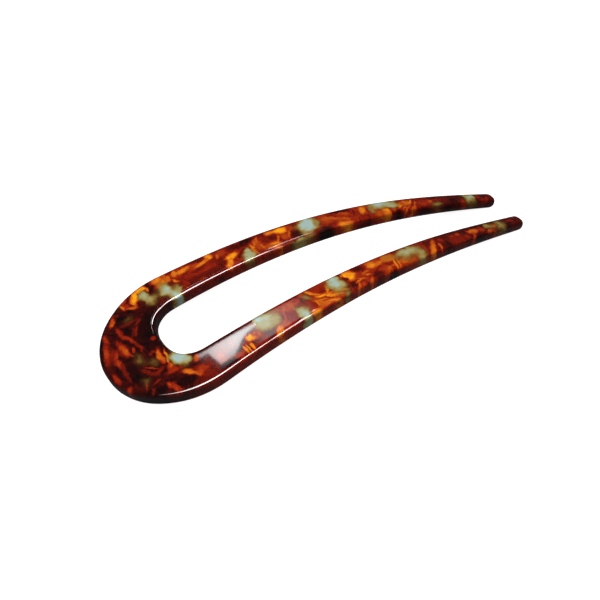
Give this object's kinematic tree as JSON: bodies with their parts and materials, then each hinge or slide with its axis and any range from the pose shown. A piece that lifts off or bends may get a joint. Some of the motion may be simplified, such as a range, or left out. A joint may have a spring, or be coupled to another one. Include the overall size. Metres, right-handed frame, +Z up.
{
  "type": "french hair pin",
  "caption": "U-shaped hair pin of polished tortoiseshell acetate, with a broad crown and long tapering prongs bent to follow the head.",
  "frame": {"origin": "middle of the bounding box, at the height of the surface that the pin stands on", "axes": "+X from the crown to the tips, +Y across the pin, +Z up from the surface, with the bulge of the bend upward"},
  "size_m": [0.1282, 0.0398, 0.0137],
  "materials": {
    "tortoiseshell_acetate": "polished, mottled dark brown, red-orange, amber and pale sage"
  },
  "bodies": {
    "root": {"pin": "tortoiseshell_acetate"}
  },
  "joints": []
}
